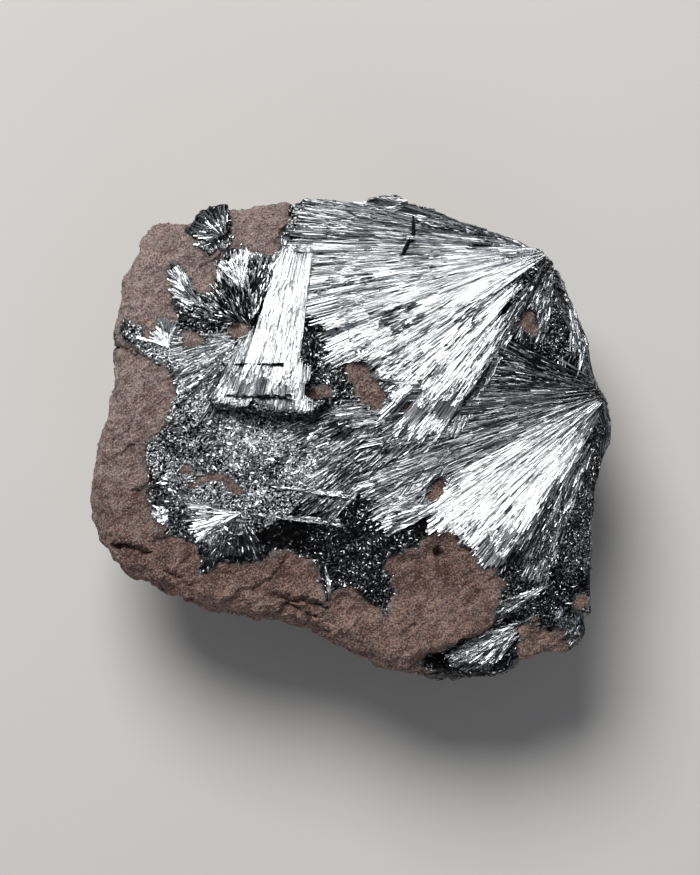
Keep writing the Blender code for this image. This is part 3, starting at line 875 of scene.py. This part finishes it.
    # Each blade's painted sheen, with the odd ones flipped into painted glints or painted dark gaps
    mixed = linear(tree, bands[2], 0.65, draw(8, -0.8, 0.8))
    bright = linear(tree, given["Contrast"], mixed, given["Lustre"])
    odd = maths(tree, "LESS_THAN", draw(12, 0.0, 1.0), given["Odd"])
    bright = linear(tree, odd, linear(tree, bright, -2.0, 1.0), bright)
    dots = result(tree, "GeometryNodePoints", {"Count": given["Blades"], "Position": centre})
    dots = stored(tree, dots, "lustre", bright)
    spot = result(tree, "GeometryNodeInputPosition", {})
    blade = stored(tree, shape_of(tree, given["Blade"]), "blade", spot, "FLOAT_VECTOR")
    wide = times(tree, millimetres(given["Width"]), draw(9, 0.55, 1.5))
    thick = times(tree, millimetres(given["Thickness"]), draw(10, 0.7, 1.4))
    size = combined(times(tree, millimetres(half), 2.0), wide, thick)
    values = {"Points": dots, "Selection": kept, "Instance": blade, "Rotation": lying, "Scale": size}
    strew(tree, values, given["Finish"])
    return tree


SPRAY = spray_tree()


def fan(focus, first, last, near, far, blades, **looks):
    """The inputs of a spray that fills a sector round its focus."""
    return dict(
        looks, focus=focus, first_direction=first, last_direction=last, near=near, far=far, blades=blades
    )


def grains(x, y, radius, blades, **looks):
    """The inputs of tiny prisms that lie every way within a circle."""
    usual = dict(blade=GRAIN, focus=(x, y, 26.0), near=0, far=radius, blades=blades, length=0.5, width=0.15)
    usual.update(thickness=0.18, disorder=90, nod=20, tilt=0.9)
    return {**usual, **looks}


def grow(name, *sprays, ground=FACE):
    """Grows the sprays on the face, or on the given ground, and joins them into one piece."""
    whole = bmesh.new()
    for spray in sprays:
        holder = put(name, bpy.data.meshes.new(name))
        modifier = holder.modifiers.new("crystal spray", "NODES")
        modifier.node_group = SPRAY
        values = {"Ground": ground, "Blade": BLADE, "Finish": BLADED}
        for key, value in spray.items():
            label = key.replace("_", " ").capitalize()
            values[label] = float(value) if isinstance(SPRAY_INPUTS[label], float) else value
        set_inputs(modifier, values)
        settle(holder)
        whole.from_mesh(holder.data)
        bpy.data.objects.remove(holder, do_unlink=True)
    piece = finished(whole, name)
    piece.data.materials.append(BLADED)
    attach(piece, "root")


FAN_FOCUS = (29.4, 25.6, 25.0)
KNOB_FOCUS = (12.5, 32.6, 25.0)
grow(
    "fan_upper_right",
    fan(FAN_FOCUS, 164, 185, 7, 38.5, 4400, length=4.0, width=0.13, lustre=0.64, contrast=0.6, seed=1),
    fan(FAN_FOCUS, 174, 216, 3.0, 17, 2200, length=4.2, lustre=1.10, contrast=0.35, odd=0.08, lift=0.12,
        seed=2),
    fan(FAN_FOCUS, 184, 213, 9, 36, 5800, length=4.2, lustre=0.92, contrast=0.38, odd=0.13, seed=3),
    fan(FAN_FOCUS, 211, 228, 9, 36, 3600, length=4.0, lustre=0.92, odd=0.18, disorder=2.5, seed=4),
    fan(FAN_FOCUS, 225, 238, 13, 36, 2500, length=3.0, width=0.13, lustre=0.95, contrast=0.6, odd=0.2,
        disorder=6, seed=6),
    fan(FAN_FOCUS, 222, 238, 24, 34.5, 1500, length=2.2, lustre=0.92, contrast=0.4, disorder=6, lift=0.5,
        seed=102),
    fan(FAN_FOCUS, 236, 243, 9, 32, 700, length=1.9, width=0.13, lustre=0.45, contrast=0.7, odd=0.2,
        disorder=12, lift=0.15, seed=97),
    fan((10.0, 25.2, 25.0), 178, 182, 8.5, 16, 50, length=5.0, width=0.4, lustre=1.0, contrast=0.3,
        lift=0.4, odd=0.0, seed=5),
    fan(KNOB_FOCUS, 160, 200, 0.5, 13, 1500, length=1.6, width=0.15, lustre=0.85, contrast=0.6,
        disorder=9, seed=19),
)

# What lies on that fan: patches of small crystals with a dark painted sheen where its blades are broken
# away, and a crooked crack across it. A crack's shadow is painted: a row of black prisms whose facets
# mirror the dark.
CRACK_SHADOW = dict(blade=GRAIN, lustre=-0.4, contrast=0.05, odd=0.0, facet=FACETS_AWAY)
grow(
    "breaks_in_the_fan",
    fan(FAN_FOCUS, 201, 209, 21.5, 28.5, 330, length=1.3, lustre=0.10, contrast=0.3, odd=0.25, lift=0.25,
        disorder=9, seed=7),
    fan(FAN_FOCUS, 213, 226, 14.0, 19.0, 330, length=1.2, lustre=0.12, contrast=0.3, odd=0.25, lift=0.25,
        disorder=9, seed=8),
    fan(FAN_FOCUS, 232, 264, 2.5, 15, 1800, length=1.4, lustre=0.06, contrast=0.6, odd=0.16, lift=0.1,
        disorder=9, tilt=0.9, seed=20),
    fan(FAN_FOCUS, 165, 171, 4, 22, 600, blade=GRAIN, length=1.1, width=0.15, lustre=0.14, odd=0.2,
        lift=0.3, disorder=10, tilt=0.8, seed=98),
    grains(-8.2, 29.5, 2.4, 420, lustre=0.55, tilt=0.6, seed=79),
    grains(29.5, 14.0, 4.5, 1300, lustre=0.06, contrast=0.4, odd=0.2, seed=76),
    grains(27.0, 22.0, 6.5, 1900, lift=0.1, lustre=0.20, seed=10),
    fan((9.1, 34.5, 26.0), 267, 270, 4.0, 8.6, 200, length=0.7, width=0.13, disorder=30, lift=0.45,
        seed=9, **CRACK_SHADOW),
    fan((10.6, 30.8, 26.0), 241.5, 245, 3.3, 7.6, 200, length=0.7, width=0.16, disorder=35, lift=0.45,
        seed=75, **CRACK_SHADOW),
)

# The right fan: it spreads to the left and downwards from the right rim. By their painted sheen its upper
# blades are painted nearly black, the next steel grey, a wedge that points down to the left bright, and the
# last black.
RIGHT_FOCUS = (37.4, 5.4, 25.0)
grow(
    "fan_right",
    fan(RIGHT_FOCUS, 155, 168, 1.5, 17.5, 1400, length=1.3, width=0.13, lustre=-0.02, contrast=0.45,
        odd=0.22, disorder=8, tilt=0.9, seed=11),
    fan(RIGHT_FOCUS, 166, 180, 1.5, 22, 2300, length=1.3, width=0.13, lustre=0.0, contrast=0.45, odd=0.24,
        disorder=8, tilt=0.9, lift=0.1, seed=27),
    fan(RIGHT_FOCUS, 149.5, 151.5, 2, 9.5, 40, length=2.0, width=0.13, lustre=0.8, contrast=0.3, lift=0.2,
        seed=16),
    fan(RIGHT_FOCUS, 178, 209, 1.5, 39.5, 6800, length=3.0, width=0.13, lustre=0.28, contrast=0.6,
        odd=0.2, disorder=2.5, relief=0.45, seed=12),
    fan(RIGHT_FOCUS, 208, 237, 12, 31, 4800, length=3.8, lustre=0.82, contrast=0.38, odd=0.16, seed=13),
    fan(RIGHT_FOCUS, 212, 236, 22, 33.5, 2000, length=2.8, lustre=0.88, contrast=0.45, odd=0.2, lift=0.15,
        seed=17),
    fan(RIGHT_FOCUS, 205, 240, 1.5, 15, 1400, length=2.4, lustre=0.58, lift=0.1, seed=14),
)
grow(
    "right_fan_granular_part",
    fan(RIGHT_FOCUS, 234, 250, 9, 31, 2200, length=1.7, lustre=0.08, disorder=10, tilt=0.8, seed=15),
    fan(RIGHT_FOCUS, 242, 268, 2, 28.5, 7500, blade=GRAIN, length=0.45, width=0.13, thickness=0.16,
        lustre=0.02, contrast=0.4, odd=0.09, disorder=70, tilt=0.9, nod=15, seed=18),
)

# The raised slab: nearly parallel blades, painted brilliant white by their painted sheen, that stand proud
# of the face. Its trunk widens downwards to a step that breaks off along the lower edge, and the painted
# shadows of two cracks run across it.
SLAB_FOCUS = (-2.7, 48.0, 28.0)


def side_grains(place, azimuth, radius, blades, **looks):
    """The inputs of grains on a side that faces that way, counted in degrees from the right."""
    return grains(place[0], place[1], radius, blades, focus=place, facing=(0, 90, azimuth), **looks)


grow(
    "raised_slab",
    fan(SLAB_FOCUS, 253.2, 263.6, 25, 42.5, 4600, length=3.8, width=0.13, pitch=2.0, lustre=0.78,
        contrast=0.36, odd=0.09, lift=0.45, relief=0.25, seed=21),
    fan(SLAB_FOCUS, 249.4, 268.5, 40, 49, 4200, length=2.0, lustre=0.82, contrast=0.42, odd=0.14,
        lift=0.2, relief=0.25, lowest=27.4, seed=22),
    fan(SLAB_FOCUS, 250.5, 254.0, 37, 43, 700, length=2.2, width=0.13, lustre=0.38, odd=0.2, lift=0.45,
        relief=0.25, lowest=27.4, seed=23),
    side_grains((-12.0, 1.0, 27.2), -92, 8.0, 4000, lowest=26.0, lustre=0.45, relief=0.15, seed=103),
    side_grains((-5.0, 12.0, 27.2), 0, 12.0, 4500, lowest=26.0, lustre=0.35, relief=0.15, seed=104),
)
# The slab's cracks: their shadows painted as rows of black prisms
grow(
    "cracks_in_the_slab",
    fan((-20.5, 8.4, 26.0), -1, 1, 4.2, 11.5, 90, length=0.9, width=0.07, disorder=6, lift=0.7, seed=24,
        **CRACK_SHADOW),
    fan((-20.5, 4.2, 26.0), -4, 0, 3.2, 13, 120, length=0.9, width=0.09, disorder=10, lift=0.6, seed=25,
        **CRACK_SHADOW),
)

# The upper left sprays, painted by their sheen: black blades with white ones among them above a shared
# focus, white painted glints at their ends, and striated grey ones below it. Small patches of the same
# blades lie at the left edge.
UPPER_LEFT_FOCUS = (-14.1, 13.6, 26.0)
grow(
    "sprays_upper_left",
    fan(UPPER_LEFT_FOCUS, 66, 168, 0.5, 10.5, 3600, blade=GRAIN, length=1.5, width=0.17, thickness=0.2,
        lustre=-0.30, contrast=0.15, odd=0.26, tilt=0.45, disorder=14, nod=6, seed=31),
    fan(UPPER_LEFT_FOCUS, 64, 90, 8.0, 15, 1700, blade=GRAIN, length=0.9, width=0.16, thickness=0.2,
        lustre=0.22, contrast=0.8, odd=0.25, tilt=0.7, disorder=22, lift=0.1, nod=12, seed=26),
    fan(UPPER_LEFT_FOCUS, 88, 124, 8.0, 14.5, 2100, blade=GRAIN, length=0.9, width=0.16, thickness=0.2,
        lustre=0.50, contrast=0.8, odd=0.3, tilt=0.7, disorder=22, lift=0.1, pitch=-8, nod=12, seed=34),
    fan((-15.0, 19.0, 26.0), 80, 135, 1.2, 5.6, 420, length=1.3, width=0.16, lustre=1.0, contrast=0.4,
        disorder=12, pitch=-12, tilt=0.35, lift=0.3, seed=40),
    fan((-21.0, 17.0, 26.0), 95, 165, 0.5, 6.5, 650, length=1.5, width=0.16, lustre=0.70, contrast=0.6,
        odd=0.25, disorder=9, lift=0.1, seed=35),
    fan((-13.6, 13.0, 26.0), 178, 212, 0.5, 12.5, 2200, length=1.6, lustre=0.34, odd=0.2, disorder=8,
        seed=32),
    fan((-13.0, 12.5, 26.0), 206, 242, 0.5, 14, 2400, length=1.9, lustre=0.12, disorder=6, tilt=0.8,
        seed=36),
    fan((-25.6, 11.2, 26.0), 70, 165, 0, 4.4, 420, length=1.1, width=0.17, lustre=1.1, contrast=0.3,
        disorder=14, lift=0.3, pitch=-15, nod=9, tilt=0.3, seed=78),
    grains(-31.4, 13.2, 2.6, 600, lustre=-0.10, contrast=0.3, odd=0.2, seed=33),
    grains(-27.0, 11.0, 4.4, 2000, lustre=0.70, tilt=0.6, seed=38),
    grains(-20.5, 16.0, 4.6, 1300, lustre=0.16, contrast=0.45, odd=0.2, lift=0.1, seed=39),
)

# The lower left rosettes, painted by their sheen: bright blades to the left of a focus and a wedge of black
# ones below it, with thin pale lines running off to the right.
LOWER_FOCUS = (-15.3, -12.2, 26.0)
grow(
    "sprays_lower_left",
    fan(LOWER_FOCUS, 170, 214, 0.4, 7, 330, length=1.8, width=0.17, lustre=0.80, odd=0.2, disorder=5,
        lift=0.2, seed=41),
    fan(LOWER_FOCUS, 222, 304, 0.3, 9.5, 2400, blade=GRAIN, length=1.3, width=0.16, lustre=-0.05,
        contrast=0.2, odd=0.05, tilt=0.9, seed=42),
    fan(LOWER_FOCUS, -8, -4, 0.5, 15, 200, blade=GRAIN, length=1.0, width=0.16, lustre=0.55, contrast=0.6,
        odd=0.2, disorder=22, lift=0.15, seed=43),
    fan((-12.0, -8.4, 26.0), -9, -5, 1.5, 13, 230, blade=GRAIN, length=0.9, width=0.16, lustre=0.80,
        odd=0.2, disorder=22, lift=0.6, seed=45),
    grains(-22.5, -12.0, 8.0, 4200, lustre=0.15, contrast=0.45, odd=0.22, seed=44),
    grains(-19.0, -15.4, 1.8, 300, lustre=0.6, contrast=0.4, lift=0.2, seed=46),
    grains(-26.6, -12.6, 1.3, 160, length=0.7, width=0.3, lustre=0.9, contrast=0.3, tilt=0.35, lift=0.3,
        seed=48),
    fan((-3.6, -18.9, 26.0), 277, 285, 0.5, 7.5, 160, blade=GRAIN, length=1.0, width=0.16, lustre=0.80,
        contrast=0.4, disorder=16, lift=0.2, seed=47),
)

# The middle: ropey bundles where the two great fans end, painted dark by their sheen, black grains as
# painted shade in a recess beside the largest patch of rock, and crystals painted black above the lower
# tongue of rock.
grow(
    "middle_crystals",
    fan((22.0, 12.0, 26.0), 201, 226, 20, 38, 4600, length=1.8, lustre=0.08, contrast=0.65, odd=0.14,
        disorder=8, tilt=0.8, relief=0.5, seed=51),
    fan((24.0, 8.0, 26.0), 200, 236, 14, 26, 3200, length=1.8, lustre=0.08, contrast=0.65, odd=0.16,
        disorder=13, tilt=0.8, relief=0.5, seed=54),
    fan((16.5, -9.8, 26.0), 186, 207, 5, 13, 600, length=1.6, lustre=0.62, contrast=0.6, odd=0.2,
        disorder=9, lift=0.2, seed=55),
    # Black grains: painted shade in the recess beside the largest patch of rock
    grains(-3.5, 8.4, 6.5, 2400, length=0.6, lustre=0.02, contrast=0.35, odd=0.2, seed=52),
    grains(2.0, -18.5, 8.8, 6000, lustre=-0.05, contrast=0.25, odd=0.10, seed=53),
)

# The lower edge: blades painted bluish-silver by their sheen that run out over the shelf below the tongue
# of rock, among small prisms painted dark.
grow(
    "sprays_lower_edge",
    fan((28.0, -22.2, 24.0), 198, 216, 1.0, 9, 900, length=1.3, lustre=0.22, contrast=0.7, odd=0.2,
        disorder=12, lift=0.1, seed=61),
    fan((26.5, -26.3, 22.0), 198, 228, 1.0, 14, 1700, length=1.3, lustre=0.14, contrast=0.7, odd=0.25,
        disorder=14, lift=0.15, seed=64),
    grains(24.0, -25.0, 14.0, 8000, length=0.42, width=0.13, lustre=0.14, contrast=0.45, odd=0.08,
        seed=62),
    grains(31.6, -27.6, 3.2, 800, length=0.8, width=0.2, lustre=0.50, lift=0.15, seed=63),
)

# The sparkling fields: countless tiny prisms that lie every way between the sprays, and ones painted
# silvery by their sheen along the contact with the rock.
grow(
    "sparkling_fields",
    grains(-15.5, -2.0, 13.5, 17500, length=0.36, width=0.14, thickness=0.16, lustre=0.60, tilt=0.6,
        lift=0.1, band=40, seed=71),
    grains(-15.5, -2.0, 13.5, 520, length=0.8, width=0.3, lustre=0.9, contrast=0.4, tilt=0.5, lift=0.2,
        band=40, seed=74),
)
grow(
    "sparkling_ground",
    grains(8.0, 2.0, 42.0, 14000, width=0.16, lustre=0.14, contrast=0.35, odd=0.10, lift=-0.05, seed=72),
    grains(-4.0, 0.0, 40.0, 60000, length=0.4, near=4, lustre=0.75, tilt=0.6, edge=0.16, seed=73),
)

# The broken sides, where crystal passes over the rim: blades that run on down from the two great fans,
# among grains painted dark. There the sprays face outwards, and their directions count from straight down.
# Each fan has a focus, the way that its side faces, a painted sheen and a seed.
SIDE_FANS = (
    ((35.0, 4.9, 25.0), 2, 0.26, 91),
    ((29.5, 23.5, 25.0), 38, 0.30, 92),
    ((10.0, 31.0, 25.0), 78, 0.26, 93),
)
grow(
    "broken_sides",
    *(
        fan(focus, -80, 80, 1, 18, 2600, facing=(0, 90, azimuth), length=2.2, width=0.18, lustre=lustre,
            disorder=5, seed=seed)
        for focus, azimuth, lustre, seed in SIDE_FANS
    ),
    side_grains((35.0, -4.5, 16.0), 0, 20.0, 4400, lustre=0.30, relief=0.15, seed=94),
    side_grains((24.0, -30.0, 20.0), -75, 14.0, 2600, lustre=0.25, relief=0.15, seed=95),
    side_grains((28.0, 24.0, 16.0), 50, 24.0, 5000, lustre=0.12, contrast=0.4, seed=96),
)

# The rosette: a small spray of its own near the upper left edge, with brown rock all round it. Blades
# painted white by their sheen cross its black ones from the lower right.
ROSETTE_VOXEL = 0.3 * MM
# Below this height, in millimetres, the side of the rosette's body turns to rock
ROSETTE_EDGE = 25.0
rosette_body = merged_copy("rosette", "rosette_body")
remesh(rosette_body, ROSETTE_VOXEL)
roughen(rosette_body, "rosette lumps", "CLOUDS", 0.8 * MM, 0.5 * MM, middle=0.6)
settle(rosette_body)
depth = ROSETTE_EDGE - points_of(rosette_body)[:, 2] / MM
set_rock_share(rosette_body, np.clip(0.5 + depth * 0.4, 0.0, 1.0))
rosette_body.data.materials.append(crystal_body.data.materials[0])
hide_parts("rosette")
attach(rosette_body, "root")
rosette_ground = joined_copy("ground of the rosette", host_rock, rosette_body)
grow(
    "rosette_blades",
    fan((-17.6, 26.8, 26.0), 85, 205, 0.8, 6.5, 480, length=1.2, width=0.17, lustre=0.45, contrast=0.7,
        odd=0.2, disorder=9, tilt=0.7, lift=0.1, seed=81),
    grains(-19.6, 27.6, 4.0, 2400, lustre=0.06, contrast=0.25, odd=0.14, seed=82),
    ground=rosette_ground,
)
for helper in (FACE, BLADE, GRAIN, rosette_ground):
    bpy.data.objects.remove(helper, do_unlink=True)
